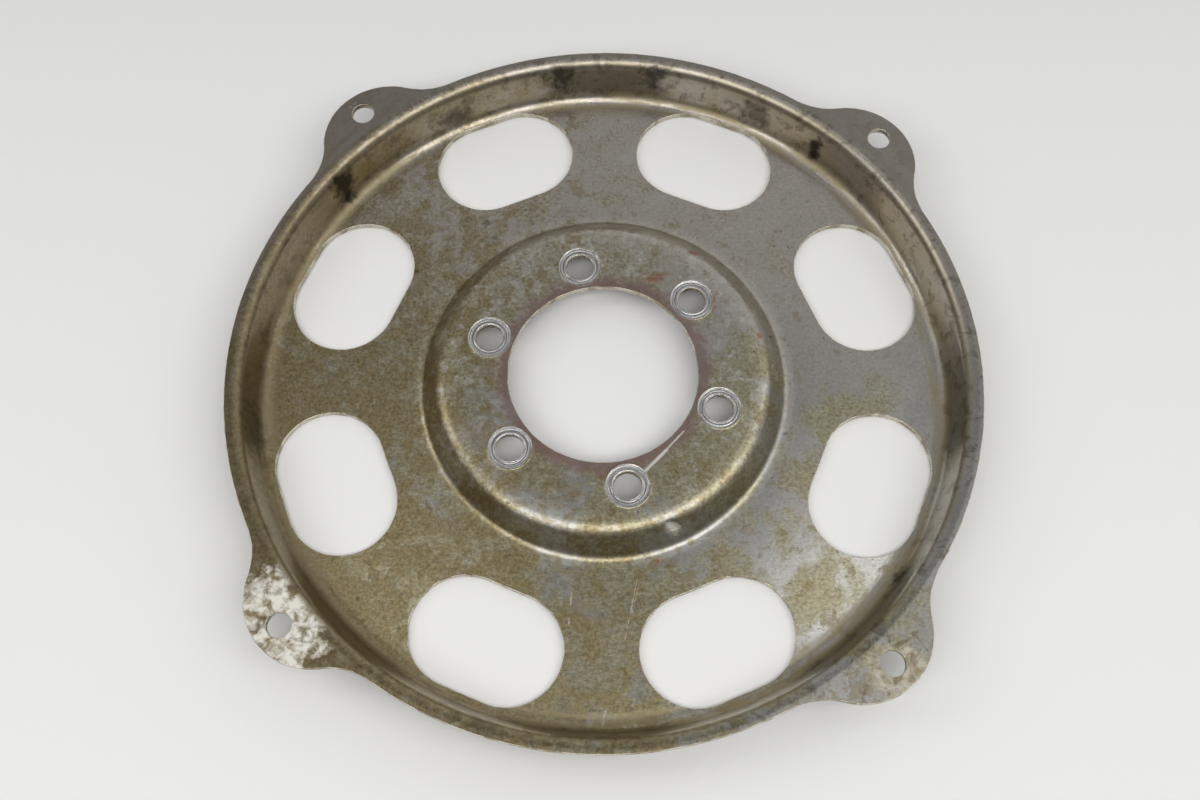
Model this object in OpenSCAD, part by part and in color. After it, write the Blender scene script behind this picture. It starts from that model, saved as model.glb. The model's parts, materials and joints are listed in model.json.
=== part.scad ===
// Flexplate: the thin pressed steel disc between an engine's crankshaft and a torque converter.
// One sheet, pressed to a dished section: a raised hub, a flat web with windows, a raised rim with four ears.
// Millimetres, +Z up along the crank axis, the web's underside on Z = 0, one window each side of +X.

/* [Sheet] */
// Thickness of the sheet
sheet = 3; // [2:0.1:4]

/* [Hub] */
// Diameter of the bore in the middle
bore_d = 90; // [70:0.5:110]
// Height of the hub's upper face over the web's upper face
hub_h = 11.5; // [6:0.5:16]
// Distance from the crank bolts' circle out to the corner of the hub's shoulder
hub_margin = 20; // [16:0.5:28]
// Slope of the hub's wall, in degrees from the flat
hub_slope = 49; // [40:1:65]
// Inside bend radius under the hub's shoulder
hub_shoulder_r = 7; // [2:0.5:9]
// Inside bend radius at the foot of the hub's wall
hub_foot_r = 2.5; // [1:0.5:6]

/* [Crank bolts] */
// Number of crank bolts
crank_bolts = 6; // [3:1:8]
// Distance from the bore's edge out to the crank bolts' circle
crank_land = 12.25; // [11:0.25:18]
// Diameter of a crank bolt's hole
crank_hole_d = 13; // [9:0.5:15]
// Leg of the chamfer at the hole's upper edge
crank_chamfer = 0.4; // [0.2:0.1:0.8]
// Width of the seat that a bolt's head has worn round its hole
crank_seat_w = 3.6; // [2:0.1:4]
// Depth of that seat
crank_seat_depth = 0.3; // [0.1:0.1:0.8]

/* [Rim] */
// Diameter over the rim's flange, without the ears
rim_d = 350; // [330:1:380]
// Height of the flange's upper face over the web's upper face
rim_h = 23; // [16:0.5:28]
// Lean of the rim's wall away from the upright, in degrees
rim_lean = 12.5; // [5:0.5:25]
// Width of the flange, from the line of the wall out to its edge
flange_w = 6.7; // [6.5:0.1:12]
// Inside bend radius under the flange
flange_bend_r = 1.5; // [0.5:0.5:3]
// Inside bend radius at the foot of the rim's wall
rim_foot_r = 7.5; // [3:0.5:10]

/* [Windows] */
// Number of windows in the web
window_count = 8; // [4:1:8]
// Width of a window, along the radius
window_w = 50.2; // [36:0.2:54]
// Length of a window, across the radius
window_l = 71.2; // [56:0.2:76]
// Distance from a window out to the line of the rim's wall
window_gap = 3.7; // [2:0.1:8]

/* [Ears] */
// Number of ears for the converter's bolts
ear_count = 4; // [3:1:6]
// Turn of the first ear and of the first crank bolt from +X, in degrees
ear_turn = 41.7; // [0:0.1:90]
// Reach of an ear past the flange's edge
ear_reach = 20.8; // [16:0.2:26]
// Radius of an ear's rounded end
ear_r = 31.8; // [24:0.2:40]
// Radius of the hollow curve between an ear and the flange
ear_blend_r = 32; // [15:1:50]
// Distance of the converter bolts' circle outside the flange's edge
ear_hole_out = 9; // [6:0.1:11]
// Diameter of a converter bolt's hole
ear_hole_d = 11; // [8:0.5:13]

/* [Hidden] */
$fn = 180;

// Clearance by which a cut runs past the face that it opens
past = 1;
// Share of the flat flange that the pressed section and the ears both hold
flange_lap = 0.5;

bore_r = bore_d / 2;
rim_r = rim_d / 2;
crank_circle_r = bore_r + crank_land;
ear_circle_r = rim_r + ear_hole_out;

web_top = sheet;
hub_top = sheet + hub_h;
rim_top = sheet + rim_h;

// Sharp corners of the section's upper face, from the bore out to the flange
hub_corner_r = crank_circle_r + hub_margin;
hub_foot_corner_r = hub_corner_r + hub_h / tan(hub_slope);
rim_corner_r = rim_r - flange_w;
rim_foot_corner_r = rim_corner_r - rim_h * tan(rim_lean);

// Flat flange: from the end of the bend under it out to its edge
flange_bend_turn = 90 - rim_lean;
flange_flat_r = rim_corner_r + (flange_bend_r + sheet) * tan(flange_bend_turn / 2);
section_end_r = flange_flat_r + flange_lap * (rim_r - flange_flat_r);

window_r = rim_foot_corner_r - window_gap - window_w / 2;
ear_centre_r = rim_r + ear_reach - ear_r;

// Upper face of the section as corners, with the inside bend radius at each corner between the ends
section_path = [
    [bore_r, hub_top],
    [hub_corner_r, hub_top],
    [hub_foot_corner_r, web_top],
    [rim_foot_corner_r, web_top],
    [rim_corner_r, rim_top],
    [section_end_r, rim_top]
];
section_bends = [0, hub_shoulder_r, hub_foot_r, rim_foot_r, flange_bend_r, 0];
last = len(section_path) - 1;

// Direction of the leg that leaves corner i, in degrees
function leg_angle(i) = atan2(section_path[i + 1].y - section_path[i].y, section_path[i + 1].x - section_path[i].x);

// Turn at corner i: positive where the sheet bends up, negative where it bends down
function turn(i) = i == 0 || i == last ? 0 : leg_angle(i) - leg_angle(i - 1);

// Length of the upper face that the bend at corner i takes from each leg beside it
function setback(i) = (section_bends[i] + (turn(i) < 0 ? sheet : 0)) * tan(abs(turn(i)) / 2);

// Corner i of the section at a depth under the upper face
function corner(i, depth) =
    let (along = i == 0 ? leg_angle(0) : leg_angle(i - 1) + turn(i) / 2)
    section_path[i] + depth / cos(turn(i) / 2) * [sin(along), -cos(along)];

// Wedge of the bend at corner i, from the bend's centre out to a sharp corner round a circle of radius r
module bend_wedge(r, angle) {
    half = angle / 2;
    polygon([[0, 0], [r, 0], r / cos(half) * [cos(half), sin(half)], r * [cos(angle), sin(angle)]]);
}

// Places its children at the centre of the bend at corner i, with +X square to the leg before it
module at_bend(i) {
    up = turn(i) > 0;
    off = up ? section_bends[i] : -section_bends[i] - sheet;
    translate(section_path[i])
        rotate(leg_angle(i - 1))
            translate([-setback(i), off])
                rotate(up ? -90 : 90)
                    children();
}

// Half section of the pressed sheet, without the outer part of the flange:
// a strip with sharp corners, filled inside each bend and trimmed outside it
module section() {
    difference() {
        union() {
            polygon([
                for (i = [0 : last]) corner(i, 0),
                for (i = [last : -1 : 0]) corner(i, sheet)
            ]);
            for (i = [1 : last - 1])
                at_bend(i)
                    difference() {
                        bend_wedge(section_bends[i] + sheet / 2, turn(i));
                        circle(section_bends[i]);
                    }
        }
        for (i = [1 : last - 1])
            at_bend(i)
                difference() {
                    bend_wedge(section_bends[i] + sheet + past, turn(i));
                    circle(section_bends[i] + sheet);
                }
    }
}

// Hollow curve on one side of an ear: a web between flange and ear, cut by a circle that touches both
module ear_blend() {
    from_axis = rim_r + ear_blend_r;
    from_ear = ear_r + ear_blend_r;
    along = (from_axis ^ 2 + ear_centre_r ^ 2 - from_ear ^ 2) / (2 * ear_centre_r);
    across = sqrt(from_axis ^ 2 - along ^ 2);
    difference() {
        polygon([[0, 0], [ear_centre_r, 0], [along, across]]);
        translate([along, across])
            circle(ear_blend_r);
    }
}

// Outline of the flange with its ears
module flange_outline() {
    circle(rim_r);
    for (k = [0 : ear_count - 1])
        rotate(ear_turn + k * 360 / ear_count) {
            translate([ear_centre_r, 0])
                circle(ear_r);
            ear_blend();
            mirror([0, 1])
                ear_blend();
        }
}

// Flat flange and ears, level with the top of the rim
module flange() {
    translate([0, 0, rim_top - sheet])
        linear_extrude(sheet)
            difference() {
                flange_outline();
                circle(flange_flat_r);
            }
}

// Cuts of one window: a slot with round ends, square to the radius
module window() {
    half = (window_l - window_w) / 2;
    translate([window_r, 0, -past])
        linear_extrude(rim_top) {
            for (side = [-1, 1])
                translate([0, side * half])
                    circle(d = window_w);
            square([window_w, 2 * half], center = true);
        }
}

// Cuts of one crank bolt: the hole, the chamfer at its upper edge and the seat of the bolt's head
module crank_hole() {
    seat_floor = hub_top - crank_seat_depth;
    translate([crank_circle_r, 0, 0]) {
        translate([0, 0, hub_top - sheet - past])
            cylinder(d = crank_hole_d, h = sheet + 2 * past);
        translate([0, 0, seat_floor])
            cylinder(d = crank_hole_d + 2 * crank_seat_w, h = crank_seat_depth + past);
        translate([0, 0, seat_floor - crank_chamfer])
            cylinder(d1 = crank_hole_d, d2 = crank_hole_d + 4 * crank_chamfer, h = 2 * crank_chamfer);
    }
}

// Cut of one converter bolt's hole
module ear_hole() {
    translate([ear_circle_r, 0, rim_top - sheet - past])
        cylinder(d = ear_hole_d, h = sheet + 2 * past);
}

// The whole plate
module flexplate() {
    color([0.44, 0.42, 0.36])
        difference() {
            union() {
                rotate_extrude()
                    section();
                flange();
            }
            for (k = [0 : window_count - 1])
                rotate((k + 0.5) * 360 / window_count)
                    window();
            for (k = [0 : crank_bolts - 1])
                rotate(ear_turn + k * 360 / crank_bolts)
                    crank_hole();
            for (k = [0 : ear_count - 1])
                rotate(ear_turn + k * 360 / ear_count)
                    ear_hole();
        }
}

flexplate();
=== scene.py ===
import json
import math
import bpy
import numpy as np
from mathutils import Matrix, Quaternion, Vector, geometry
from types import SimpleNamespace


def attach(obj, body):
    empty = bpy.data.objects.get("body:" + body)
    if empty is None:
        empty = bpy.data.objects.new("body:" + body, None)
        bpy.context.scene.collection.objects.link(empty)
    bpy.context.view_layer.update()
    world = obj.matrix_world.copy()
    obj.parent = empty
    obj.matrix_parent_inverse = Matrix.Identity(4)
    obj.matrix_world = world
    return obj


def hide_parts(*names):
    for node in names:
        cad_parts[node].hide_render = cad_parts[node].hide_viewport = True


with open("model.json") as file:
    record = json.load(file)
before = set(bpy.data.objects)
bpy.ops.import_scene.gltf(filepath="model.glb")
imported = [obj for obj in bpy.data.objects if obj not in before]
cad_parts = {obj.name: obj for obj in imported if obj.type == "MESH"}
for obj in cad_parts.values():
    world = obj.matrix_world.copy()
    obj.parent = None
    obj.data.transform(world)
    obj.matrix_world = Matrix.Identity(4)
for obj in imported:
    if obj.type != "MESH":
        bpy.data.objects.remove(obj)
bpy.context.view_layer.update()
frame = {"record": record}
mounts = {mount["name"]: mount for mount in frame["record"]["mounts"]}
mm = 0.001


# camera, lamps, floor and sky

camera = dict(
    eye=(5.03, -220.63, 528.71),     # millimetres, over the near edge of the plate
    aim=(-1.46, -9.63, 3.0),
    roll=-1.494,                     # degrees
    lens=35.56,                      # millimetres, as the sensor's width is
    sensor=36.0,
)


def placeCamera():
    data = bpy.data.cameras.new("camera")
    data.sensor_fit = "HORIZONTAL"
    data.sensor_width = camera["sensor"]
    data.lens = camera["lens"]
    data.clip_start = 0.01
    eye = Vector(camera["eye"]) * mm
    aim = Vector(camera["aim"]) * mm
    turn = (aim - eye).to_track_quat("-Z", "Y") @ Quaternion((0, 0, 1), math.radians(camera["roll"]))
    obj = bpy.data.objects.new("camera", data)
    obj.matrix_world = turn.to_matrix().to_4x4()
    obj.location = eye
    bpy.context.scene.collection.objects.link(obj)
    bpy.context.scene.camera = obj


lamps = dict(
    back=dict(at=(0.10, -0.46, 1.00), size=(2.40, 0.50), watts=11.0, colour=(1.0, 0.995, 0.98)),
    rightTop=dict(at=(0.39, 0.18, 1.30), size=(0.22, 0.22), watts=0.34, colour=(1.0, 0.99, 0.97)),
    leftTop=dict(at=(-0.34, 0.15, 1.30), size=(0.22, 0.22), watts=0.28, colour=(1.0, 0.99, 0.97)),
    rightSide=dict(at=(1.00, 0.35, 0.80), size=(0.40, 0.70), watts=0.6, colour=(1.0, 0.99, 0.96)),
    leftSide=dict(at=(-1.00, 0.10, 0.85), size=(0.40, 0.70), watts=2.2, colour=(1.0, 0.99, 0.97)),
)


def placeLamps():
    for name, lamp in lamps.items():
        data = bpy.data.lights.new("softbox_" + name, "AREA")
        data.shape = "RECTANGLE"
        data.size, data.size_y = lamp["size"]
        data.energy = lamp["watts"]
        data.color = lamp["colour"]
        obj = bpy.data.objects.new("softbox_" + name, data)
        obj.location = lamp["at"]
        obj.rotation_mode = "QUATERNION"
        obj.rotation_quaternion = (-Vector(lamp["at"])).to_track_quat("-Z", "Y")
        bpy.context.scene.collection.objects.link(obj)


studio = dict(
    floorColour=(0.83, 0.83, 0.825),
    floorReach=3.0,                  # metres from the middle to an edge
    floorDrop=0.0002,                # metres under the plate, so that no two faces share a plane
    floorRough=0.6,
    floorShine=0.2,
    skyLevel=0.35,                   # sky brightness at the horizon
    skyLean=(0.20, 0.32, -0.06),     # how it changes to the right, away from the camera, and overhead
    skyLeast=0.16,                   # the darkest it gets
)


def placeFloor():
    reach = studio["floorReach"]
    mesh = bpy.data.meshes.new("floor")
    signs = ((-1, -1), (1, -1), (1, 1), (-1, 1))
    corners = [(x * reach, y * reach, -studio["floorDrop"]) for x, y in signs]
    mesh.from_pydata(corners, [], [(0, 1, 2, 3)])
    floor = bpy.data.objects.new("floor", mesh)
    bpy.context.scene.collection.objects.link(floor)
    paint = bpy.data.materials.new("floorPaint")
    paint.use_nodes = True
    shader = paint.node_tree.nodes["Principled BSDF"]
    shader.inputs["Base Color"].default_value = (*studio["floorColour"], 1)
    shader.inputs["Roughness"].default_value = studio["floorRough"]
    shader.inputs["Specular IOR Level"].default_value = studio["floorShine"]
    mesh.materials.append(paint)


def placeSky():
    world = bpy.data.worlds.new("studio")
    bpy.context.scene.world = world
    world.use_nodes = True
    tree = world.node_tree
    sky = tree.nodes["Background"]
    sky.inputs["Color"].default_value = (1, 1, 1, 1)
    where = tree.nodes.new("ShaderNodeTexCoord")
    lean = tree.nodes.new("ShaderNodeVectorMath")
    lean.operation = "DOT_PRODUCT"
    lean.inputs[1].default_value = studio["skyLean"]
    level = tree.nodes.new("ShaderNodeMath")
    level.inputs[1].default_value = studio["skyLevel"]
    tree.links.new(where.outputs["Generated"], lean.inputs[0])
    tree.links.new(lean.outputs["Value"], level.inputs[0])
    least = tree.nodes.new("ShaderNodeMath")
    least.operation = "MAXIMUM"
    least.inputs[1].default_value = studio["skyLeast"]
    tree.links.new(level.outputs[0], least.inputs[0])
    tree.links.new(least.outputs[0], sky.inputs["Strength"])


placeCamera()
placeLamps()
placeFloor()
placeSky()
print("camera, lamps, floor and sky placed")


# the plate's sizes in millimetres; bolt circles and bores come from the record

plate = dict(
    sheet=3.0,
    boreR=mounts["crank_pilot"]["dims"]["r_mm"],
    crankCircleR=mounts["crank_bolts"]["dims"]["pcd_mm"] / 2,
    crankHoleR=mounts["crank_bolts"]["dims"]["hole_r_mm"],
    crankCount=mounts["crank_bolts"]["dims"]["count"],
    earCircleR=mounts["converter_bolts"]["dims"]["pcd_mm"] / 2,
    earHoleR=mounts["converter_bolts"]["dims"]["hole_r_mm"],
    earCount=mounts["converter_bolts"]["dims"]["count"],
    turn=41.7,                       # degrees from +X to the first ear and crank bolt
    hubRise=11.5,
    hubCornerR=77.25,
    hubSlope=49.0,
    hubShoulderR=7.0,
    hubFootR=5.0,
    rimR=175.0,
    rimRise=23.0,
    rimLean=12.5,
    flangeWidth=6.7,
    flangeBendR=3.5,
    rimFootR=7.5,
    windowCount=8,
    windowWidth=50.2,
    windowLength=71.2,
    windowGap=3.7,
    earReach=20.8,
    earR=31.8,
    earBlendR=32.0,
    edgeRoll=0.35,                   # rounding of the pierced and cut edges
    seatDepth=0.3,
    seatR=10.1,
    bendSteps=13,                    # points on the curve of a bend
    sectionPast=(2.0, 5.0),          # how far the section runs past the bore and past the ears' ends
)
plate["rimCornerR"] = plate["rimR"] - plate["flangeWidth"]
plate["rimFootCornerR"] = plate["rimCornerR"] - plate["rimRise"] * math.tan(math.radians(plate["rimLean"]))
plate["hubFootCornerR"] = plate["hubCornerR"] + plate["hubRise"] / math.tan(math.radians(plate["hubSlope"]))
plate["windowR"] = plate["rimFootCornerR"] - plate["windowGap"] - plate["windowWidth"] / 2
plate["earCentreR"] = plate["rimR"] + plate["earReach"] - plate["earR"]


def onCircle(count, radius, firstDeg):
    steps = np.radians(firstDeg + 360.0 * np.arange(count) / count)
    return np.stack([radius * np.cos(steps), radius * np.sin(steps)], 1)


crankSpots = onCircle(plate["crankCount"], plate["crankCircleR"], plate["turn"])
earSpots = onCircle(plate["earCount"], plate["earCircleR"], plate["turn"])
windowTurns = 180.0 / plate["windowCount"] + 360.0 * np.arange(plate["windowCount"]) / plate["windowCount"]


# the pressed section: its upper and lower faces as rows of (radius, height)

def sectionRows():
    sheet = plate["sheet"]
    path = np.array([
        (plate["boreR"] - plate["sectionPast"][0], sheet + plate["hubRise"]),
        (plate["hubCornerR"], sheet + plate["hubRise"]),
        (plate["hubFootCornerR"], sheet),
        (plate["rimFootCornerR"], sheet),
        (plate["rimCornerR"], sheet + plate["rimRise"]),
        (plate["rimR"] + plate["earReach"] + plate["sectionPast"][1], sheet + plate["rimRise"]),
    ])
    inside = [plate["hubShoulderR"], plate["hubFootR"], plate["rimFootR"], plate["flangeBendR"]]
    upper = [path[0]]
    lower = [path[0] - (0, sheet)]
    for k, bendR in enumerate(inside):
        before = path[k + 1] - path[k]
        after = path[k + 2] - path[k + 1]
        start = math.atan2(before[1], before[0])
        bend = math.atan2(after[1], after[0]) - start
        up = bend > 0
        faceR = bendR if up else bendR + sheet
        setback = faceR * math.tan(abs(bend) / 2)
        along = np.array((math.cos(start), math.sin(start)))
        square = np.array((-math.sin(start), math.cos(start)))
        side = 1 if up else -1
        centre = path[k + 1] - setback * along + side * faceR * square
        otherR = bendR + sheet if up else bendR
        for t in np.linspace(0, 1, plate["bendSteps"]):
            a = start + bend * t
            out = -side * np.array((-math.sin(a), math.cos(a)))
            upper.append(centre + faceR * out)
            lower.append(centre + otherR * out)
    upper.append(path[-1])
    lower.append(path[-1] - (0, sheet))
    return np.array(upper), np.array(lower)


upperRow, lowerRow = sectionRows()


# outlines in plan: distance past an edge is negative in the metal

def slotDistance(points, deg):
    turn = math.radians(deg)
    along = points @ np.array((math.cos(turn), math.sin(turn))) - plate["windowR"]
    across = points @ np.array((-math.sin(turn), math.cos(turn)))
    half = (plate["windowLength"] - plate["windowWidth"]) / 2
    across = across - np.clip(across, -half, half)
    return plate["windowWidth"] / 2 - np.hypot(along, across)


def earBlendCentre():
    fromAxis = plate["rimR"] + plate["earBlendR"]
    fromEar = plate["earR"] + plate["earBlendR"]
    earAt = plate["earCentreR"]
    along = (fromAxis ** 2 + earAt ** 2 - fromEar ** 2) / (2 * earAt)
    return along, math.sqrt(fromAxis ** 2 - along ** 2)


def outlineDistance(points):
    past = np.hypot(points[:, 0], points[:, 1]) - plate["rimR"]
    blendX, blendY = earBlendCentre()
    for k in range(plate["earCount"]):
        turn = math.radians(plate["turn"] + 360.0 * k / plate["earCount"])
        x = points @ np.array((math.cos(turn), math.sin(turn)))
        y = np.abs(points @ np.array((-math.sin(turn), math.cos(turn))))
        lobe = np.hypot(x - plate["earCentreR"], y) - plate["earR"]
        inFan = (y * blendX <= x * blendY) & (x > 0)
        inFan &= (x - plate["earCentreR"]) * blendY <= y * (blendX - plate["earCentreR"])
        hollow = plate["earBlendR"] - np.hypot(x - blendX, y - blendY)
        past = np.minimum(past, lobe)
        past = np.where(inFan, hollow, past)
    return past


def pastEdge(points):
    worst = outlineDistance(points)
    worst = np.maximum(worst, plate["boreR"] - np.hypot(points[:, 0], points[:, 1]))
    for deg in windowTurns:
        worst = np.maximum(worst, slotDistance(points, deg))
    for spot in crankSpots:
        worst = np.maximum(worst, plate["crankHoleR"] - np.hypot(*(points - spot).T))
    for spot in earSpots:
        worst = np.maximum(worst, plate["earHoleR"] - np.hypot(*(points - spot).T))
    return worst


# edge loops: points with the metal on the left, and the way out of the metal at each

def circleLoop(centre, radius, count, hole):
    steps = np.linspace(0, 2 * math.pi, count, endpoint=False)
    out = np.stack([np.cos(steps), np.sin(steps)], 1)
    points = np.asarray(centre) + radius * out
    return (points[::-1], -out[::-1]) if hole else (points, out)


def slotLoop(deg, spacing):
    half = (plate["windowLength"] - plate["windowWidth"]) / 2
    radius = plate["windowWidth"] / 2
    arc = int(math.pi * radius / spacing)
    points, out = [], []
    for end in (1, -1):
        steps = np.linspace(0, math.pi, arc) + (0 if end > 0 else math.pi)
        for a in steps:
            points.append((radius * math.cos(a), end * half + radius * math.sin(a)))
            out.append((-math.cos(a), -math.sin(a)))
        for t in np.linspace(0, 1, int(2 * half / spacing))[1:-1]:
            points.append((-end * radius, end * half * (1 - 2 * t)))
            out.append((end, 0))
    turn = math.radians(deg)
    spin = np.array(((math.cos(turn), math.sin(turn)), (-math.sin(turn), math.cos(turn))))
    points = (np.array(points) + (plate["windowR"], 0)) @ spin
    out = np.array(out) @ spin
    return points[::-1], out[::-1]


def outlineLoop(spacing):
    blendX, blendY = earBlendCentre()
    touchRim = math.atan2(blendY, blendX)
    touchEar = math.atan2(blendY, blendX - plate["earCentreR"])
    step = 2 * math.pi / plate["earCount"]
    points, out = [], []

    def arc(centre, radius, start, end, hollow):
        count = max(3, int(abs(end - start) * radius / spacing))
        for a in np.linspace(start, end, count, endpoint=False):
            way = np.array((math.cos(a), math.sin(a)))
            points.append(centre + radius * way)
            out.append(-way if hollow else way)

    for k in range(plate["earCount"]):
        turn = math.radians(plate["turn"]) + k * step
        spin = np.array(((math.cos(turn), math.sin(turn)), (-math.sin(turn), math.cos(turn))))
        low = np.array((blendX, -blendY)) @ spin
        high = np.array((blendX, blendY)) @ spin
        ear = np.array((plate["earCentreR"], 0)) @ spin
        arc(low, plate["earBlendR"], turn - touchRim + math.pi, turn - touchEar + math.pi, True)
        arc(ear, plate["earR"], turn - touchEar, turn + touchEar, False)
        arc(high, plate["earBlendR"], turn + touchEar - math.pi, turn + touchRim - math.pi, True)
        arc(np.zeros(2), plate["rimR"], turn + touchRim, turn + step - touchRim, False)
    return np.array(points), np.array(out)


# heights of the two faces over any point in plan

seatRings = dict(
    edge=0.35,                       # width of the step down into the seat
    innerLip=7.5,                    # radius of the ridge that the bolt has raised beside its hole
    lipHeight=0.16,
    lipWidth=0.32,
    groove=8.2,
    grooveDepth=0.10,
    grooveWidth=0.30,
    outerLip=10.5,                   # burr pushed up round the seat
    burrHeight=0.14,
    burrWidth=0.28,
    ripple=0.035,
    ripplePitch=11.0,                # radians to a millimetre
    reach=12.0,
    paintPast=0.2,                   # how far the bright finish runs past the seat
    meshRadii=(7.2, 7.5, 7.8, 8.2, 8.6, 9.0, 9.4, 9.75, 9.95, 10.1, 10.3, 10.5, 10.7, 11.0),
)
dent = dict(at=(32.0, -74.9), reach=4.2, depth=1.3)     # knock on the hub's near slope
wave = dict(
    height=0.10,
    lengths=(95.0, 61.0, 143.0),
    turns=(0.4, 1.7, 2.6),
    sway=0.6,
    swayLength=1.7,                  # as a share of the wave's length
    web=(92.0, 156.0),               # inner and outer radius of the waves, with a fade inside both
    fade=20.0,
    lowerShare=0.5,                  # the underside only rises, so that the plate still lies flat
)


def bumpOf(distance, middle, width):
    return np.exp(-((distance - middle) / width) ** 2)


def seatHeight(points):
    ring = seatRings
    rise = np.zeros(len(points))
    for k, spot in enumerate(crankSpots):
        d = np.hypot(*(points - spot).T)
        step = np.clip((plate["seatR"] - d) / ring["edge"], 0, 1)
        floor = -plate["seatDepth"] * step * step * (3 - 2 * step)
        lip = ring["lipHeight"] * bumpOf(d, ring["innerLip"], ring["lipWidth"])
        groove = -ring["grooveDepth"] * bumpOf(d, ring["groove"], ring["grooveWidth"])
        burr = ring["burrHeight"] * bumpOf(d, ring["outerLip"], ring["burrWidth"])
        fine = ring["ripple"] * np.sin(d * ring["ripplePitch"] + k) * step
        rise += np.where(d < ring["reach"], floor + lip + groove + burr + fine, 0)
    return rise


def waveHeight(points):
    rise = np.zeros(len(points))
    for length, turn in zip(wave["lengths"], wave["turns"]):
        way = points @ np.array((math.cos(turn), math.sin(turn)))
        side = points @ np.array((-math.sin(turn), math.cos(turn)))
        sway = wave["sway"] * np.sin(side * 2 * math.pi / (wave["swayLength"] * length))
        rise += np.sin(way * 2 * math.pi / length + sway)
    radius = np.hypot(points[:, 0], points[:, 1])
    inner, outer = wave["web"]
    onWeb = np.clip((radius - inner) / wave["fade"], 0, 1) * np.clip((outer - radius) / wave["fade"], 0, 1)
    return wave["height"] * onWeb * rise / len(wave["lengths"])


def dentHeight(points):
    share = np.clip(1 - (np.hypot(*(points - dent["at"]).T) / dent["reach"]) ** 2, 0, 1)
    return -dent["depth"] * share ** 2


def upperHeight(points):
    radius = np.hypot(points[:, 0], points[:, 1])
    rise = np.interp(radius, upperRow[:, 0], upperRow[:, 1])
    return rise + seatHeight(points) + dentHeight(points) + waveHeight(points)


def lowerHeight(points):
    radius = np.hypot(points[:, 0], points[:, 1])
    rise = np.interp(radius, lowerRow[:, 0], lowerRow[:, 1])
    return rise + dentHeight(points) + np.maximum(waveHeight(points), 0) * wave["lowerShare"]


def faceNormals(points, height):
    step = grid["normalStep"]
    sx = (height(points + (step, 0)) - height(points - (step, 0))) / (2 * step)
    sy = (height(points + (0, step)) - height(points - (0, step))) / (2 * step)
    ways = np.stack([-sx, -sy, np.ones(len(points))], 1)
    return ways / np.linalg.norm(ways, axis=1, keepdims=True)


# points inside the metal: rings that crowd together on the bends, and rings round the bolt holes

grid = dict(
    around=360,                      # points on a ring; half as many inside the hub's shoulder
    shoulderGap=6.0,
    edgeSpacing=1.4,
    flatStep=3.2,
    slopeStep=0.7,
    flangeStep=2.0,
    leastGap=0.22,
    clear=0.8,                       # between the rings and a rolled edge
    starts=(1.0, 2.0, 3.0, 4.0),     # first ring past the bore, hub corner, hub foot and rim corner
    webEnd=6.0,                      # last ring short of the rim's foot
    boreCount=240,
    crankCount=64,
    earCount=56,
    earRings=(1.0, 2.0),
    earRingCount=40,
    seatGap=0.6,
    earGap=2.5,
    normalStep=0.04,
)


def ringRadii():
    rows = np.sort(np.concatenate([upperRow[1:-1, 0], lowerRow[1:-1, 0]]))
    bore, corner, foot, rim = grid["starts"]
    webEnd = plate["rimFootCornerR"] - grid["webEnd"]
    flats = np.concatenate([
        np.arange(plate["boreR"] + bore, rows[0], grid["flatStep"]),
        np.arange(plate["hubCornerR"] + corner, plate["hubFootCornerR"], grid["slopeStep"]),
        np.arange(plate["hubFootCornerR"] + foot, webEnd, grid["flatStep"]),
        np.arange(plate["rimCornerR"] + rim, plate["rimR"] + plate["earReach"], grid["flangeStep"]),
    ])
    kept = []
    for radius in np.sort(np.concatenate([rows, flats])):
        if not kept or radius - kept[-1] > grid["leastGap"]:
            kept.append(radius)
    return kept


def innerPoints():
    rings = []
    for radius in ringRadii():
        fine = radius > plate["hubCornerR"] - grid["shoulderGap"]
        rings.append(onCircle(grid["around"] if fine else grid["around"] // 2, radius, 0))
    points = np.concatenate(rings)
    keep = pastEdge(points) < -grid["clear"] - plate["edgeRoll"]
    seatReach = seatRings["meshRadii"][-1] + grid["seatGap"]
    for spots, reach in ((crankSpots, seatReach), (earSpots, plate["earHoleR"] + grid["earGap"])):
        for spot in spots:
            keep &= np.hypot(*(points - spot).T) > reach
    return points[keep]


# the plate's mesh: a triangulated plan lifted to both faces, closed by rolled edges

faceSlot, edgeSlot, seatSlot = 0, 1, 2


def edgeLoops():
    loops = [outlineLoop(grid["edgeSpacing"]), circleLoop((0, 0), plate["boreR"], grid["boreCount"], True)]
    loops += [slotLoop(deg, grid["edgeSpacing"]) for deg in windowTurns]
    loops += [circleLoop(spot, plate["crankHoleR"], grid["crankCount"], True) for spot in crankSpots]
    loops += [circleLoop(spot, plate["earHoleR"], grid["earCount"], True) for spot in earSpots]
    return loops


def planOfPlate(loops):
    plan, edges, spans = [], [], []
    for points, out in loops:
        first = sum(len(rows) for rows in plan)
        spans.append((first, len(points)))
        plan.append(points - plate["edgeRoll"] * out)
        edges += [(first + k, first + (k + 1) % len(points)) for k in range(len(points))]
    for spot in crankSpots:
        plan += [circleLoop(spot, radius, grid["crankCount"], True)[0] for radius in seatRings["meshRadii"]]
    for spot in earSpots:
        radii = [plate["earHoleR"] + gap for gap in grid["earRings"]]
        plan += [circleLoop(spot, radius, grid["earRingCount"], True)[0] for radius in radii]
    plan.append(innerPoints())
    return np.concatenate(plan), edges, spans


def triangulate(plan, edges):
    found, _, faces, origins, _, _ = geometry.delaunay_2d_cdt([Vector(p) for p in plan], edges, [], 0, 1e-6)
    points = np.array([(p.x, p.y) for p in found])
    newIndex = {old: index for index, olds in enumerate(origins) for old in olds}
    faces = np.array(faces)
    inMetal = pastEdge(points[faces].mean(1)) < -0.5 * plate["edgeRoll"]
    return points, faces[inMetal], newIndex


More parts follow.
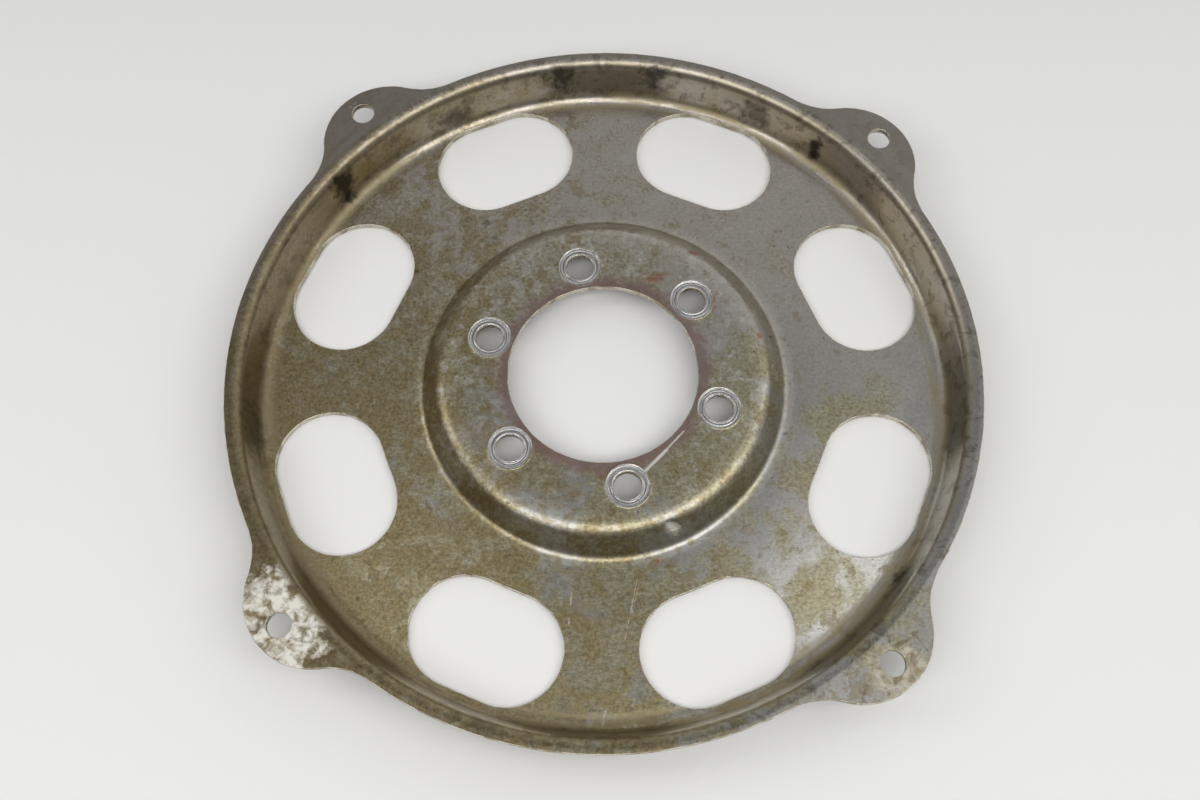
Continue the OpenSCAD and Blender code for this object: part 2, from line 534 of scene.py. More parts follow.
def rolledRows(edge, out, topZ, lowZ):
    roll = plate["edgeRoll"]
    steps = np.radians((30, 60, 90))
    for upperSide, angles in ((True, steps), (False, steps[::-1])):
        for a in angles:
            drop = roll * (1 - math.cos(a))
            z = topZ - drop if upperSide else lowZ + drop
            lift = math.cos(a) if upperSide else -math.cos(a)
            points = np.column_stack([edge - roll * (1 - math.sin(a)) * out, z])
            yield points, np.column_stack([math.sin(a) * out, np.full(len(edge), lift)])


def plateMesh():
    loops = edgeLoops()
    plan, edges, spans = planOfPlate(loops)
    flat, faces, newIndex = triangulate(plan, edges)
    count = len(flat)
    topZ = upperHeight(flat)
    lowZ = lowerHeight(flat)
    points = [np.column_stack([flat, topZ]), np.column_stack([flat, lowZ])]
    normals = [faceNormals(flat, upperHeight), -faceNormals(flat, lowerHeight)]
    middles = flat[faces].mean(1)
    fromBolt = np.min([np.hypot(*(middles - spot).T) for spot in crankSpots], axis=0)
    onSeat = fromBolt < plate["seatR"] + seatRings["paintPast"]
    polygons = [tuple(face) for face in faces] + [tuple(face[::-1] + count) for face in faces]
    slots = [seatSlot if seat else faceSlot for seat in onSeat] + [faceSlot] * len(faces)

    total = 2 * count
    for (first, size), (edge, out) in zip(spans, loops):
        ids = np.array([newIndex[first + k] for k in range(size)])
        rows = [ids]
        for rowPoints, rowNormals in rolledRows(edge, out, topZ[ids], lowZ[ids]):
            points.append(rowPoints)
            normals.append(rowNormals)
            rows.append(total + np.arange(size))
            total += size
        rows.append(ids + count)
        for top, low in zip(rows, rows[1:]):
            for k in range(size):
                n = (k + 1) % size
                polygons.append((low[k], low[n], top[n], top[k]))
                slots.append(edgeSlot)

    mesh = bpy.data.meshes.new("plate")
    mesh.from_pydata(np.concatenate(points) * mm, [], polygons)
    mesh.polygons.foreach_set("material_index", slots)
    mesh.polygons.foreach_set("use_smooth", [True] * len(polygons))
    mesh.normals_split_custom_set_from_vertices(np.concatenate(normals))
    mesh.update()
    print("plate mesh:", len(mesh.vertices), "points,", len(polygons), "faces")
    return mesh


plateObject = bpy.data.objects.new("plate", plateMesh())
bpy.context.scene.collection.objects.link(plateObject)
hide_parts("flexplate")
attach(plateObject, "root")

# small helpers for wiring shader nodes; most give back an output socket

def feed(tree, socket, value):
    if isinstance(value, bpy.types.NodeSocket):
        tree.links.new(value, socket)
    elif value is not None:
        socket.default_value = value


def mathOf(tree, how, a, b=None):
    node = tree.nodes.new("ShaderNodeMath")
    node.operation = how
    feed(tree, node.inputs[0], a)
    feed(tree, node.inputs[1], b)
    return node.outputs[0]


def timesOf(tree, a, b):
    return mathOf(tree, "MULTIPLY", a, b)


def vectorOf(tree, how, a, b=None, scale=None):
    node = tree.nodes.new("ShaderNodeVectorMath")
    node.operation = how
    feed(tree, node.inputs[0], a)
    feed(tree, node.inputs[1], b)
    feed(tree, node.inputs[3], scale)
    return node.outputs[1 if how in ("LENGTH", "DISTANCE", "DOT_PRODUCT") else 0]


def fadeOf(tree, value, low, high, toLow=0.0, toHigh=1.0):
    node = tree.nodes.new("ShaderNodeMapRange")
    node.interpolation_type = "SMOOTHSTEP"
    labels = ("Value", "From Min", "From Max", "To Min", "To Max")
    for label, number in zip(labels, (value, low, high, toLow, toHigh)):
        feed(tree, node.inputs[label], number)
    return node.outputs["Result"]


def bandOf(tree, value, rise, fall):
    return timesOf(tree, fadeOf(tree, value, *rise), fadeOf(tree, value, *fall))


def noiseOf(tree, vector, scale, detail=4.0, rough=0.55, warp=0.0):
    node = tree.nodes.new("ShaderNodeTexNoise")
    labels = ("Vector", "Scale", "Detail", "Roughness", "Distortion")
    for label, value in zip(labels, (vector, scale, detail, rough, warp)):
        feed(tree, node.inputs[label], value)
    return node.outputs["Fac"]


def mixOf(tree, amount, a, b):
    node = tree.nodes.new("ShaderNodeMix")
    node.data_type = "RGBA"
    feed(tree, node.inputs[0], amount)
    feed(tree, node.inputs[6], a if isinstance(a, bpy.types.NodeSocket) else (*a, 1))
    feed(tree, node.inputs[7], b if isinstance(b, bpy.types.NodeSocket) else (*b, 1))
    return node.outputs[2]


def blendOf(tree, amount, a, b):
    node = tree.nodes.new("ShaderNodeMix")
    feed(tree, node.inputs[0], amount)
    feed(tree, node.inputs[2], a)
    feed(tree, node.inputs[3], b)
    return node.outputs[0]


def shadeOf(colour, share):
    return tuple(share * part for part in colour)


def newGroup(name, inputs, outputs):
    group = bpy.data.node_groups.new(name, "ShaderNodeTree")
    for label, value in inputs.items():
        kind = "NodeSocketVector" if isinstance(value, tuple) else "NodeSocketFloat"
        socket = group.interface.new_socket(label, in_out="INPUT", socket_type=kind)
        socket.default_value = value
    for label in outputs:
        group.interface.new_socket(label, in_out="OUTPUT", socket_type="NodeSocketFloat")
    return group, group.nodes.new("NodeGroupInput").outputs, group.nodes.new("NodeGroupOutput").inputs


def placed(tree, group, **values):
    node = tree.nodes.new("ShaderNodeGroup")
    node.node_tree = group
    for label, value in values.items():
        feed(tree, node.inputs[label], value)
    return node.outputs


# shared effects; lengths in their sockets are millimetres on the plate

def makeDriedOil():
    group, given, made = newGroup(
        "driedOil", dict(Vector=(0, 0, 0), Size=20.0, Level=0.5, Edge=0.05, Warp=0.6), ("Film", "TideLine"))
    scale = mathOf(group, "DIVIDE", 1.0, given["Size"])
    cloud = noiseOf(group, given["Vector"], scale, 7.0, 0.62, given["Warp"])
    low = mathOf(group, "SUBTRACT", given["Level"], given["Edge"])
    high = mathOf(group, "ADD", given["Level"], given["Edge"])
    feed(group, made["Film"], fadeOf(group, cloud, low, high))
    away = mathOf(group, "ABSOLUTE", mathOf(group, "SUBTRACT", cloud, given["Level"]))
    feed(group, made["TideLine"], fadeOf(group, away, given["Edge"], 0.0))
    return group


def makeRollGrain():
    group, given, made = newGroup(
        "rollGrain", dict(Vector=(0, 0, 0), Turn=(0, 0, 0), Stretch=(40.0, 0.5, 40.0)), ("Value",))
    lay = group.nodes.new("ShaderNodeMapping")
    lay.vector_type = "TEXTURE"
    feed(group, lay.inputs["Vector"], given["Vector"])
    feed(group, lay.inputs["Rotation"], given["Turn"])
    feed(group, lay.inputs["Scale"], given["Stretch"])
    feed(group, made["Value"], noiseOf(group, lay.outputs[0], 1.0, 3.0, 0.6))
    return group


def makeSpot():
    sockets = dict(Vector=(0, 0, 0), Centre=(0, 0, 0), Turn=(0, 0, 0), Reach=(10, 10, 40))
    group, given, made = newGroup("spot", dict(sockets, Ragged=0.5, Fleck=4.0, Feather=0.4), ("Mask",))
    lay = group.nodes.new("ShaderNodeMapping")
    lay.vector_type = "TEXTURE"
    feed(group, lay.inputs["Vector"], given["Vector"])
    feed(group, lay.inputs["Location"], given["Centre"])
    feed(group, lay.inputs["Rotation"], given["Turn"])
    feed(group, lay.inputs["Scale"], given["Reach"])
    fleck = noiseOf(group, given["Vector"], mathOf(group, "DIVIDE", 1.0, given["Fleck"]), 5.0, 0.65)
    ragged = timesOf(group, given["Ragged"], 3.0)
    fleck = timesOf(group, mathOf(group, "SUBTRACT", fleck, 0.5), ragged)
    away = mathOf(group, "ADD", vectorOf(group, "LENGTH", lay.outputs[0]), fleck)
    feed(group, made["Mask"], fadeOf(group, away, 1.0, mathOf(group, "SUBTRACT", 1.0, given["Feather"])))
    return group


def makeScratch():
    sockets = dict(Vector=(0, 0, 0), From=(0, 0, 0), To=(10, 0, 0))
    group, given, made = newGroup("scratch", dict(sockets, Width=0.4, Break=0.45), ("Mask",))
    along = vectorOf(group, "SUBTRACT", given["To"], given["From"])
    here = vectorOf(group, "SUBTRACT", given["Vector"], given["From"])
    here = vectorOf(group, "MULTIPLY", here, (1, 1, 0))
    squared = vectorOf(group, "DOT_PRODUCT", along, along)
    part = mathOf(group, "DIVIDE", vectorOf(group, "DOT_PRODUCT", here, along), squared)
    part = mathOf(group, "MINIMUM", mathOf(group, "MAXIMUM", part, 0.0), 1.0)
    nearest = vectorOf(group, "SCALE", along, scale=part)
    away = vectorOf(group, "LENGTH", vectorOf(group, "SUBTRACT", here, nearest))
    wander = mathOf(group, "SUBTRACT", noiseOf(group, given["Vector"], 0.12, 2.0), 0.5)
    away = mathOf(group, "ADD", away, timesOf(group, wander, given["Width"]))
    line = fadeOf(group, away, given["Width"], 0.0)
    broken = noiseOf(group, given["Vector"], 0.6, 3.0)
    gaps = fadeOf(group, broken, given["Break"], mathOf(group, "ADD", given["Break"], 0.1))
    feed(group, made["Mask"], timesOf(group, line, gaps))
    return group


driedOil = makeDriedOil()
rollGrain = makeRollGrain()
spot = makeSpot()
scratch = makeScratch()


def newFinish(name):
    paint = bpy.data.materials.new(name)
    paint.use_nodes = True
    tree = paint.node_tree
    where = tree.nodes.new("ShaderNodeTexCoord").outputs["Object"]
    place = vectorOf(tree, "SCALE", where, scale=1 / mm)
    return paint, tree, tree.nodes["Principled BSDF"], place


def bumpInto(tree, shader, height, depth):
    bump = tree.nodes.new("ShaderNodeBump")
    bump.inputs["Strength"].default_value = 1.0
    bump.inputs["Distance"].default_value = depth * mm
    feed(tree, bump.inputs["Height"], height)
    feed(tree, shader.inputs["Normal"], bump.outputs[0])


# tarnished sheet, laid on in layers: each changes the colour, roughness or height that the last one left

zones = dict(                        # radii where a part of the section fades in, or in and out
    hub=(92.0, 84.0),
    hubBends=((67.0, 72.0), (93.0, 90.0)),
    hubSlope=((77.5, 80.0), (89.0, 86.5)),
    rim=(156.0, 164.0),
    rimFoot=((154.0, 158.0), (166.0, 163.0)),
    rimWall=((160.5, 163.5), (172.0, 168.5)),
    rimGrime=(160.0, 164.0),
    flange=(169.0, 173.0),
    ears=(170.5, 175.0),
    nearEars=(168.5, 172.0),
)
drawnOil = dict(roundScale=4.0, acrossScale=0.22)      # streaks long round the plate and short across it


def startSkin(tree, place):
    flat = vectorOf(tree, "MULTIPLY", place, (1, 1, 0))
    radius = vectorOf(tree, "LENGTH", flat)
    split = tree.nodes.new("ShaderNodeSeparateXYZ")
    feed(tree, split.inputs[0], place)
    rise = tree.nodes.new("ShaderNodeCombineXYZ")
    feed(tree, rise.inputs["Z"], timesOf(tree, radius, drawnOil["acrossScale"]))
    aroundPlate = vectorOf(tree, "SCALE", vectorOf(tree, "NORMALIZE", flat), scale=drawnOil["roundScale"])
    streak = vectorOf(tree, "ADD", aroundPlate, rise.outputs[0])
    return SimpleNamespace(
        tree=tree,
        place=place,
        radius=radius,
        across=split.outputs["X"],
        far=split.outputs["Y"],
        drawn=noiseOf(tree, streak, 1.0, 6.0, 0.62),
        onHub=fadeOf(tree, radius, *zones["hub"]),
        onRim=fadeOf(tree, radius, *zones["rim"]),
    )


def layOver(skin, mask, share, tint):
    skin.colour = mixOf(skin.tree, timesOf(skin.tree, mask, share), skin.colour, tint)


def roughen(skin, mask, rough):
    skin.rough = blendOf(skin.tree, mask, skin.rough, rough)


def raiseBy(skin, mask, height):
    skin.height = mathOf(skin.tree, "ADD", skin.height, timesOf(skin.tree, mask, height))


# cool grey steel, mauve towards the far side

sheetSteel = dict(
    steel=(0.46, 0.455, 0.43),
    darker=0.78,                     # share of the steel's colour left in broad clouds
    cloudSize=55.0,
    mauve=(0.47, 0.425, 0.375),
    mauveShare=0.75,
    mauveRange=(-70.0, 80.0),
    grainTurn=(0, 0, 0.12),
    grainStretch=(14.0, 0.45, 14.0),
)


def layBareSheet(skin):
    tree = skin.tree
    skin.grain = placed(tree, rollGrain, Vector=skin.place, Turn=sheetSteel["grainTurn"],
                        Stretch=sheetSteel["grainStretch"])["Value"]
    cloud = fadeOf(tree, noiseOf(tree, skin.place, 1 / sheetSteel["cloudSize"], 3.0), 0.3, 0.7)
    darker = shadeOf(sheetSteel["steel"], sheetSteel["darker"])
    skin.colour = mixOf(tree, cloud, sheetSteel["steel"], darker)
    farther = fadeOf(tree, skin.far, *sheetSteel["mauveRange"])
    layOver(skin, farther, sheetSteel["mauveShare"], sheetSteel["mauve"])


# olive film, thicker near the camera and to the left, with brown tide marks and mottling

oilFilm = dict(
    olive=(0.36, 0.325, 0.195),
    brown=(0.25, 0.185, 0.075),
    thinFar=0.00036,                 # how much the film thins for a millimetre away from the camera
    thinRight=0.0008,                # and for a millimetre to the right
    thickHub=0.01,
    broad=dict(Size=40.0, Edge=0.06, Warp=0.5),
    broadLevel=0.495,
    fine=dict(Size=11.0, Edge=0.035, Warp=0.35),
    fineLevel=0.575,
    mottle=dict(Size=4.2, Edge=0.06, Warp=0.3),
    mottleLevel=0.565,
    oliveRange=(120.0, -40.0),
    oliveShare=(0.40, 0.80),
    fineShare=0.48,
    tideShare=0.22,
    mottleShare=0.40,
)


def layOilFilm(skin):
    tree = skin.tree
    farLean = timesOf(tree, skin.far, oilFilm["thinFar"])
    rightLean = timesOf(tree, skin.across, oilFilm["thinRight"])
    lean = mathOf(tree, "ADD", farLean, rightLean)
    lean = mathOf(tree, "SUBTRACT", lean, timesOf(tree, skin.onHub, oilFilm["thickHub"]))
    patches = {}
    for kind in ("broad", "fine", "mottle"):
        level = mathOf(tree, "ADD", lean, oilFilm[kind + "Level"])
        patches[kind] = placed(tree, driedOil, Vector=skin.place, Level=level, **oilFilm[kind])
    skin.film = patches["broad"]["Film"]
    skin.fine = patches["fine"]["Film"]
    layOver(skin, skin.film, fadeOf(tree, skin.far, *oilFilm["oliveRange"], *oilFilm["oliveShare"]),
            oilFilm["olive"])
    layOver(skin, skin.fine, oilFilm["fineShare"], oilFilm["brown"])
    layOver(skin, patches["fine"]["TideLine"], oilFilm["tideShare"], oilFilm["brown"])
    layOver(skin, patches["mottle"]["Film"], oilFilm["mottleShare"], oilFilm["brown"])


# rubbed patches, dark flecks, and a fine pepper of dirt all over

sheetWear = dict(
    rubbed=(0.62, 0.60, 0.56),
    rubbedShift=(70, 30, 0),         # keeps these patches apart from the film's
    rubbedPatch=dict(Size=6.0, Level=0.575, Edge=0.09, Warp=0.2),
    rubbedShare=(0.14, 0.60),        # on the web, on the hub
    rubbedRange=(-70.0, 10.0),
    rubbedNearFar=(0.45, 1.0),
    fleck=(0.13, 0.10, 0.065),
    fleckPatch=dict(Size=3.0, Level=0.655, Edge=0.04, Warp=0.5),
    fleckShare=0.6,
    pepperSize=1.6,
    pepper=(0.62, 1.26),             # darkest and lightest speck, as a share of the colour
    pepperOnFilm=(0.35, 0.9),        # how strong it is on bare steel, on the film
)


def layWear(skin):
    tree = skin.tree
    shifted = vectorOf(tree, "ADD", skin.place, sheetWear["rubbedShift"])
    rubbed = placed(tree, driedOil, Vector=shifted, **sheetWear["rubbedPatch"])["Film"]
    onHub = fadeOf(tree, skin.onHub, 0.0, 1.0, *sheetWear["rubbedShare"])
    nearFar = fadeOf(tree, skin.far, *sheetWear["rubbedRange"], *sheetWear["rubbedNearFar"])
    layOver(skin, rubbed, timesOf(tree, onHub, nearFar), sheetWear["rubbed"])
    skin.flecks = placed(tree, driedOil, Vector=skin.place, **sheetWear["fleckPatch"])["Film"]
    layOver(skin, skin.flecks, sheetWear["fleckShare"], sheetWear["fleck"])
    specks = noiseOf(tree, skin.place, 1 / sheetWear["pepperSize"], 5.0, 0.7)
    pepper = fadeOf(tree, specks, 0.32, 0.68, *sheetWear["pepper"])
    onFilm = fadeOf(tree, skin.film, 0.0, 1.0, *sheetWear["pepperOnFilm"])
    skin.colour = vectorOf(tree, "SCALE", skin.colour, scale=blendOf(tree, onFilm, 1.0, pepper))


# the rim wall and the hub's slope hold more oil, drawn round the plate; from the rim outward, painted shade
# darkens the left side

rimGrime = dict(
    brown=(0.30, 0.25, 0.15),
    wallShare=0.65,
    slopeShare=0.25,                 # on the hub's slope, as a share of the wall's
    drawnRange=(0.34, 0.60),
    drawnShare=(0.35, 1.0),
    cakedRange=(0.40, 0.58),
    cakedShare=0.75,
    # colour of the grime patches, and of the painted shade on the left of the rim
    grimeAndShade=(0.13, 0.10, 0.065),
    paintedShadeRange=(-60.0, -165.0),      # painted shade, darker to the left
    paintedShadeShare=(0.0, 0.35),
    patch=dict(Size=7.0, Level=0.57, Edge=0.06, Warp=0.7),
    patchShare=0.55,
)


def layRimGrimeAndShade(skin):
    tree = skin.tree
    onWall = bandOf(tree, skin.radius, *zones["rimWall"])
    onSlope = timesOf(tree, bandOf(tree, skin.radius, *zones["hubSlope"]), rimGrime["slopeShare"])
    drawn = fadeOf(tree, skin.drawn, *rimGrime["drawnRange"], *rimGrime["drawnShare"])
    oily = timesOf(tree, mathOf(tree, "MAXIMUM", onWall, onSlope), drawn)
    layOver(skin, oily, rimGrime["wallShare"], rimGrime["brown"])
    skin.caked = timesOf(tree, bandOf(tree, skin.radius, *zones["rimFoot"]),
                         fadeOf(tree, skin.drawn, *rimGrime["cakedRange"]))
    layOver(skin, skin.caked, rimGrime["cakedShare"], rimGrime["brown"])
    # painted shade: everything from the rim outward is darkened towards the left
    paintedLeftShade = fadeOf(tree, skin.across, *rimGrime["paintedShadeRange"], *rimGrime["paintedShadeShare"])
    layOver(skin, skin.onRim, paintedLeftShade, rimGrime["grimeAndShade"])
    skin.grime = placed(tree, driedOil, Vector=skin.place, **rimGrime["patch"])["Film"]
    patches = timesOf(tree, skin.grime, fadeOf(tree, skin.radius, *zones["rimGrime"]))
    layOver(skin, patches, rimGrime["patchShare"], rimGrime["grimeAndShade"])


# purple-brown heat tint round the bore, and orange rust by place and reach

boreTint = dict(
    tint=(0.20, 0.135, 0.13),
    share=0.8,
    raggedSize=6.0,
    ragged=17.0,                     # millimetres by which its edge wanders
    edge=(54.0, 47.0),
    rust=(0.33, 0.12, 0.05),
    rustShare=0.65,
    rustSpots=(
        ((52.5, 36.5, 14), (2.2, 6.0, 40)),
        ((25.0, 50.0, 14), (7.0, 3.0, 40)),
        ((44.0, 65.0, 14), (4.5, 2.0, 40)),
        ((74.5, 19.5, 14), (2.2, 2.2, 40)),
        ((25.0, -88.0, 4), (2.5, 1.8, 40)),
    ),
)


def layBoreTint(skin):
    tree = skin.tree
    cloud = mathOf(tree, "SUBTRACT", noiseOf(tree, skin.place, 1 / boreTint["raggedSize"], 6.0, 0.7), 0.5)
    wander = timesOf(tree, cloud, boreTint["ragged"])
    skin.tinted = fadeOf(tree, mathOf(tree, "ADD", skin.radius, wander), *boreTint["edge"])
    layOver(skin, skin.tinted, boreTint["share"], boreTint["tint"])
    for centre, reach in boreTint["rustSpots"]:
        rusty = placed(tree, spot, Vector=skin.place, Centre=centre, Reach=reach, Ragged=0.8, Fleck=2.4,
                       Feather=0.6)["Mask"]
        layOver(skin, rusty, boreTint["rustShare"], boreTint["rust"])


# roughness and fine height of what has been laid so far

sheetGloss = dict(
    bare=0.21,
    film=0.28,
    fine=0.31,
    tint=0.46,
    rim=0.36,
    rimShare=0.8,
    caked=0.5,
    bends=0.40,
    bendShare=0.8,
    grain=0.16,
    grainHeight=0.35,
    fineHeight=0.5,
    fleckDepth=0.5,
    bump=0.03,                       # millimetres for a height of 1
)


def setGloss(skin):
    tree = skin.tree
    skin.rough = blendOf(tree, skin.film, sheetGloss["bare"], sheetGloss["film"])
    roughen(skin, skin.fine, sheetGloss["fine"])
    roughen(skin, skin.tinted, sheetGloss["tint"])
    roughen(skin, timesOf(tree, skin.onRim, sheetGloss["rimShare"]), sheetGloss["rim"])
    roughen(skin, skin.caked, sheetGloss["caked"])
    onBends = bandOf(tree, skin.radius, *zones["hubBends"])
    roughen(skin, timesOf(tree, onBends, sheetGloss["bendShare"]), sheetGloss["bends"])
    uneven = timesOf(tree, mathOf(tree, "SUBTRACT", skin.grain, 0.5), sheetGloss["grain"])
    skin.rough = mathOf(tree, "ADD", skin.rough, uneven)
    skin.height = timesOf(tree, skin.grain, sheetGloss["grainHeight"])
    raiseBy(skin, skin.fine, sheetGloss["fineHeight"])
    raiseBy(skin, skin.flecks, -sheetGloss["fleckDepth"])


# bare metal where the hub's slope was knocked, painted near-white as a glint of the lamp

knockAndGlint = dict(
    # near-white: bare steel, with a painted glint
    steel=(0.98, 0.94, 0.84),
    rough=0.45,
    reach=(4.8, 3.2, 20),
    crumple=(24.0, 48.0),
    crumpleSize=2.0,
)


def layKnockAndGlint(skin):
    tree = skin.tree
    knock = placed(tree, spot, Vector=skin.place, Centre=(*dent["at"], 10), Reach=knockAndGlint["reach"],
                   Ragged=0.25, Fleck=2.0, Feather=1.0)["Mask"]
    lumps = noiseOf(tree, skin.place, 1 / knockAndGlint["crumpleSize"], 2.0)
    # painted glint: the knocked spot is coloured near-white to stand for a highlight
    skin.colour = mixOf(tree, knock, skin.colour, knockAndGlint["steel"])
    roughen(skin, knock, knockAndGlint["rough"])
    raiseBy(skin, knock, fadeOf(tree, lumps, 0.2, 0.8, *knockAndGlint["crumple"]))


# the flange is darker, the far ears dry and dark, the near ears chipped with pale corrosion

earWear = dict(
    flangeShade=0.6,
    flangeShare=0.7,
    dry=(0.2585, 0.23375, 0.20625),
    dryRange=(20.0, 70.0),
    dryShare=(0.55, 0.95),
    dryRough=0.42,
    ochre=(0.36, 0.28, 0.15),
    ochreShare=0.45,
    powder=(0.74, 0.72, 0.66),
    chips=dict(Size=5.0, Level=0.46, Edge=0.12, Warp=0.3),
    dirt=(0.13, 0.10, 0.065),
    dirtShare=0.6,
    dullMetal=0.85,                  # share of the metal's shine that the powder takes
    powderRough=0.62,
    powderHeight=1.2,
    patches=(((-140, -124, 26), 28.0, 0.95), ((125, -142, 26), 14.0, 0.35)),   # place, reach, how pale
)


def layEars(skin):
    tree = skin.tree
    darkerFlange = fadeOf(tree, skin.radius, *zones["flange"], 0.0, earWear["flangeShare"])
    darker = vectorOf(tree, "SCALE", skin.colour, scale=earWear["flangeShade"])
    skin.colour = mixOf(tree, darkerFlange, skin.colour, darker)
    dryEar = timesOf(tree, fadeOf(tree, skin.radius, *zones["ears"]),
                     fadeOf(tree, skin.far, *earWear["dryRange"]))
    layOver(skin, dryEar, fadeOf(tree, skin.drawn, 0.35, 0.65, *earWear["dryShare"]), earWear["dry"])
    roughen(skin, dryEar, earWear["dryRough"])
    chips = placed(tree, driedOil, Vector=skin.place, **earWear["chips"])["Film"]
    nearEar = fadeOf(tree, skin.radius, *zones["nearEars"])
    skin.metal = 1.0
    for centre, reach, paleness in earWear["patches"]:
        rotten = placed(tree, spot, Vector=skin.place, Centre=centre, Reach=(reach, reach, 60), Ragged=0.75,
                        Fleck=9.0, Feather=0.35)["Mask"]
        rotten = timesOf(tree, rotten, nearEar)
        layOver(skin, rotten, earWear["ochreShare"], earWear["ochre"])
        pale = timesOf(tree, rotten, chips)
        layOver(skin, pale, paleness, earWear["powder"])
        layOver(skin, rotten, timesOf(tree, skin.grime, earWear["dirtShare"]), earWear["dirt"])
        skin.metal = mathOf(tree, "SUBTRACT", skin.metal, timesOf(tree, pale, earWear["dullMetal"]))
        roughen(skin, rotten, earWear["powderRough"])
        raiseBy(skin, pale, earWear["powderHeight"])


# dark smudges by (degrees round the plate, radius, half length round it, half width, strength)

soot = dict(
    colour=(0.035, 0.028, 0.020),
    rough=0.5,
    smudges=(
        (142.3, 166.0, 9.0, 5.0, 0.95),
        (98.0, 167.0, 13.0, 3.5, 0.85),
        (81.0, 167.2, 10.0, 3.5, 0.80),
        (49.3, 165.0, 5.0, 3.5, 0.95),
        (-36.0, 164.0, 8.0, 3.0, 0.80),
        (118.0, 164.5, 14.0, 3.0, 0.55),
        (62.0, 165.5, 12.0, 3.0, 0.55),
        (-170.0, 165.0, 20.0, 4.0, 0.45),
        (124.3, 105.7, 3.2, 3.0, 0.60),
        (125.4, 95.5, 2.6, 2.2, 0.60),
        (147.6, 111.4, 2.2, 3.4, 0.65),
        (159.3, 107.5, 5.0, 1.8, 0.55),
        (15.1, 83.9, 1.6, 1.6, 0.60),
    ),
)


def laySoot(skin):
    for degrees, radius, long, wide, dark in soot["smudges"]:
        turn = math.radians(degrees)
        centre = (radius * math.cos(turn), radius * math.sin(turn), 14)
        smudge = placed(skin.tree, spot, Vector=skin.place, Centre=centre, Turn=(0, 0, turn),
                        Reach=(wide, long, 40), Ragged=0.7, Fleck=5.0, Feather=0.8)["Mask"]
        layOver(skin, smudge, dark, soot["colour"])
        roughen(skin, smudge, soot["rough"])


# bright scratches from and to, how wide, how broken and how bright

scratched = dict(
    steel=(0.78, 0.77, 0.74),
    rough=0.42,
    lines=(
        ((20.0, -48.6, 0), (29.5, -38.8, 0), 1.25, 0.20, 0.95),
        ((24.0, -44.6, 0), (37.6, -29.6, 0), 0.60, 0.25, 0.95),
        ((1.7, -154.5, 0), (0.6, -160.8, 0), 0.45, 0.40, 0.5),
        ((-13.8, -103.0, 0), (-13.9, -108.5, 0), 0.50, 0.40, 0.5),
        ((-14.5, -114.5, 0), (-14.6, -117.5, 0), 0.50, 0.40, 0.5),
        ((15.8, -96.9, 0), (10.3, -123.9, 0), 0.26, 0.38, 0.5),
        ((16.6, -99.0, 0), (13.4, -112.0, 0), 0.22, 0.42, 0.5),
        ((-70.0, 10.0, 0), (-64.0, -4.0, 0), 0.22, 0.45, 0.5),
        ((4.0, -61.0, 0), (-2.0, -65.0, 0), 0.25, 0.40, 0.5),
        ((-49.0, -28.5, 0), (-48.4, -33.0, 0), 0.30, 0.35, 0.5),
        ((6.0, 51.5, 0), (31.0, 50.6, 0), 0.22, 0.36, 0.5),
        ((-129.5, 141.0, 0), (-126.0, 145.0, 0), 0.60, 0.45, 0.4),
    ),
)


def layScratches(skin):
    for start, end, width, gaps, bright in scratched["lines"]:
        line = placed(skin.tree, scratch, Vector=skin.place, From=start, To=end, Width=width,
                      Break=gaps)["Mask"]
        layOver(skin, line, bright, scratched["steel"])
        roughen(skin, line, scratched["rough"])


def makeTarnishedSteel():
    paint, tree, shader, place = newFinish("tarnishedSteel")
    skin = startSkin(tree, place)
    layers = (layBareSheet, layOilFilm, layWear, layRimGrimeAndShade, layBoreTint)
    layers += (setGloss, layKnockAndGlint, layEars, laySoot, layScratches)
    for lay in layers:
        lay(skin)
    feed(tree, shader.inputs["Base Color"], skin.colour)
    feed(tree, shader.inputs["Metallic"], skin.metal)
    feed(tree, shader.inputs["Roughness"], skin.rough)
    bumpInto(tree, shader, skin.height, sheetGloss["bump"])
    return paint


# pierced and cut edges: bright steel, brown in patches

cutEdge = dict(
    steel=(0.62, 0.58, 0.49),
    brown=(0.20, 0.15, 0.07),
    dirt=dict(Size=9.0, Level=0.52, Edge=0.09, Warp=0.5),
    dirtShare=0.7,
    grainStretch=(0.8, 0.8, 6.0),
    rough=(0.20, 0.42),
    bump=0.02,
)


def makeCutEdge():
    paint, tree, shader, place = newFinish("cutEdge")
    dirt = placed(tree, driedOil, Vector=place, **cutEdge["dirt"])["Film"]
    grain = placed(tree, rollGrain, Vector=place, Turn=(0, 0, 0), Stretch=cutEdge["grainStretch"])["Value"]
    dirty = timesOf(tree, dirt, cutEdge["dirtShare"])
    feed(tree, shader.inputs["Base Color"], mixOf(tree, dirty, cutEdge["steel"], cutEdge["brown"]))
    shader.inputs["Metallic"].default_value = 1.0
    feed(tree, shader.inputs["Roughness"], fadeOf(tree, grain, 0.2, 0.8, *cutEdge["rough"]))
    bumpInto(tree, shader, grain, cutEdge["bump"])
    return paint


# bolt seats: bare bright rings turned by the bolt heads

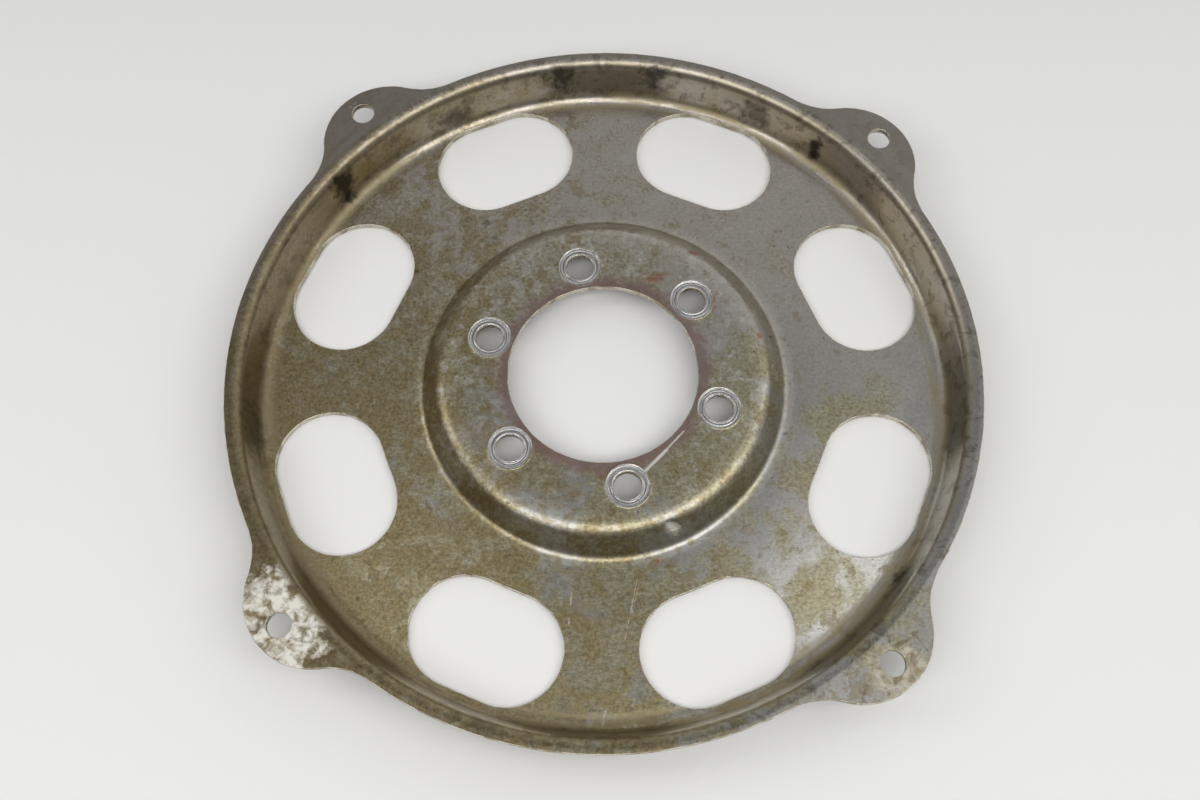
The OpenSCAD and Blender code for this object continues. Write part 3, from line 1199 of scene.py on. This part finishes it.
boltSeat = dict(
    steel=(0.62, 0.62, 0.61),
    dark=(0.10, 0.095, 0.09),
    darkShare=0.8,
    ringScale=2.4,                   # noise steps to a millimetre out from the hole
    roundScale=0.10,
    chatterSize=2.2,
    grooveEdge=(0.45, 0.1),
    rough=(0.20, 0.42),
    bump=0.10,
)


def makeBoltSeat():
    paint, tree, shader, place = newFinish("boltSeat")
    flat = vectorOf(tree, "MULTIPLY", place, (1, 1, 0))
    near = None
    for x, y in crankSpots:
        away = vectorOf(tree, "DISTANCE", flat, (x, y, 0))
        near = away if near is None else mathOf(tree, "MINIMUM", near, away)
    rise = tree.nodes.new("ShaderNodeCombineXYZ")
    feed(tree, rise.inputs["Z"], timesOf(tree, near, boltSeat["ringScale"]))
    aroundHole = vectorOf(tree, "SCALE", place, scale=boltSeat["roundScale"])
    ringPlace = vectorOf(tree, "ADD", aroundHole, rise.outputs[0])
    rings = noiseOf(tree, ringPlace, 1.0, 4.0, 0.6)
    chatter = noiseOf(tree, place, 1 / boltSeat["chatterSize"], 4.0, 0.6)
    dull = timesOf(tree, fadeOf(tree, rings, 0.42, 0.60), fadeOf(tree, chatter, 0.35, 0.6, 0.45, 1.0))
    fromGroove = mathOf(tree, "ABSOLUTE", mathOf(tree, "SUBTRACT", near, seatRings["groove"]))
    dull = mathOf(tree, "MAXIMUM", dull, fadeOf(tree, fromGroove, *boltSeat["grooveEdge"]))
    dark = timesOf(tree, dull, boltSeat["darkShare"])
    feed(tree, shader.inputs["Base Color"], mixOf(tree, dark, boltSeat["steel"], boltSeat["dark"]))
    shader.inputs["Metallic"].default_value = 1.0
    feed(tree, shader.inputs["Roughness"], fadeOf(tree, chatter, 0.3, 0.7, *boltSeat["rough"]))
    bumpInto(tree, shader, rings, boltSeat["bump"])
    return paint


for makeFinish in (makeTarnishedSteel, makeCutEdge, makeBoltSeat):
    plateObject.data.materials.append(makeFinish())
print("finishes made:", [paint.name for paint in plateObject.data.materials])

bpy.context.scene.view_settings.view_transform = "Standard"
